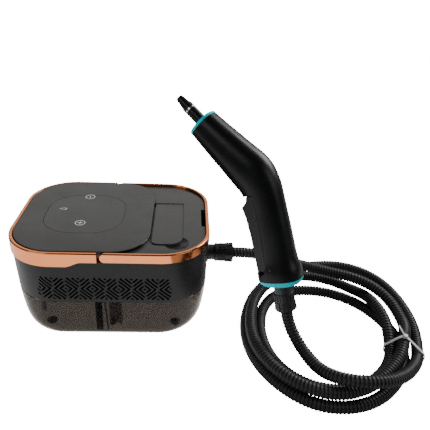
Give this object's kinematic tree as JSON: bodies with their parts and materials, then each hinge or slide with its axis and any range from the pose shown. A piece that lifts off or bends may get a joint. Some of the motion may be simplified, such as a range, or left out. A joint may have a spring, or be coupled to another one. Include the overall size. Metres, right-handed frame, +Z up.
{
  "type": "steam cleaner",
  "caption": "Portable steam cleaner: a low tank base with touch panel, hinged carry handle and filler flap, and a trigger steam gun on a coiled ribbed hose.",
  "frame": {"origin": "middle of the water tank's flat underside; four rubber feet reach 1.5 mm below it", "axes": "+Z up, +X towards the side where the hose leaves the base, +Y towards the back of the base, -Y the front with the lattice vents"},
  "size_m": [0.5658, 0.3299, 0.311],
  "materials": {
    "smoked_clear_plastic": "gloss, smoked and see-through",
    "satin_black_plastic": "satin",
    "charcoal_deck": "satin",
    "rose_gold_plating": "polished rose gold plating on plastic",
    "black_rubber": "matte",
    "steel": "plain",
    "cast_aluminium": "as cast",
    "circuit_board": "solder mask",
    "silicone_tube": "plain",
    "satin_black_grip": "satin",
    "teal_plastic": "semi-gloss",
    "silver_ring": "polished",
    "hose_conduit": "ribbed, semi-gloss",
    "white_nylon": "plain"
  },
  "bodies": {
    "base_and_gun": {"water_tank": "smoked_clear_plastic", "chassis_plate": "satin_black_plastic", "body_shell": "satin_black_plastic", "tank_pillar_front": "satin_black_plastic", "tank_pillar_rear": "satin_black_plastic", "tank_pillar_left": "satin_black_plastic", "tank_pillar_right": "satin_black_plastic", "filler_neck": "satin_black_plastic", "boiler_cradle": "satin_black_plastic", "mains_inlet": "satin_black_plastic", "base_gland_body": "satin_black_plastic", "base_gland_nut": "satin_black_plastic", "top_cover": "charcoal_deck", "raised_deck": "charcoal_deck", "control_panel": "charcoal_deck", "rim_trim": "rose_gold_plating", "tank_gasket": "black_rubber", "foot_front_left": "black_rubber", "foot_front_right": "black_rubber", "foot_rear_left": "black_rubber", "foot_rear_right": "black_rubber", "filler_seal": "black_rubber", "pump_mount": "black_rubber", "tank_screw_front": "steel", "tank_screw_left": "steel", "tank_screw_rear": "steel", "tank_screw_right": "steel", "handle_pivot_front": "steel", "handle_pivot_rear": "steel", "flap_hinge_pin": "steel", "thermostat": "steel", "trigger_pin": "steel", "trigger_spring": "steel", "gun_screw_1": "steel", "gun_screw_2": "steel", "gun_screw_3": "steel", "boiler": "cast_aluminium", "pump": "cast_aluminium", "relief_valve": "cast_aluminium", "touch_board": "circuit_board", "supply_board": "circuit_board", "suction_tube": "silicone_tube", "feed_pipe": "silicone_tube", "steam_pipe": "silicone_tube", "gun_steam_pipe": "silicone_tube", "gun_shell_left": "satin_black_grip", "gun_shell_right": "satin_black_grip", "nozzle_tube": "satin_black_grip", "nozzle_tip": "satin_black_grip", "trigger_switch": "satin_black_grip", "gun_gland": "satin_black_grip", "gun_end_cap": "teal_plastic", "gun_front_ring": "teal_plastic", "nozzle_ring": "silver_ring", "steam_hose": "hose_conduit", "hose_tie": "white_nylon"},
    "handle": {"carry_handle": "rose_gold_plating"},
    "flap": {"filler_flap": "charcoal_deck"},
    "gun_trigger": {"trigger": "satin_black_grip"}
  },
  "joints": [
    {"name": "carry_handle_hinge", "type": "hinge", "parent": "base_and_gun", "child": "handle", "pos_m": [0, 0, 0.1339], "axis": [0, -1, 0], "range_deg": [0, 90]},
    {"name": "filler_flap_hinge", "type": "hinge", "parent": "base_and_gun", "child": "flap", "pos_m": [0.07325, 0.0406, 0.1349], "axis": [-1, 0, 0], "range_deg": [0, 90]},
    {"name": "trigger_pull", "type": "hinge", "parent": "base_and_gun", "child": "gun_trigger", "pos_m": [0.21018, -0.09868, 0.12442], "axis": [0.4471, 0.8775, -0.1736], "range_deg": [0, 7], "stiffness_Nm_per_rad": 2, "springref_deg": -4.58}
  ]
}
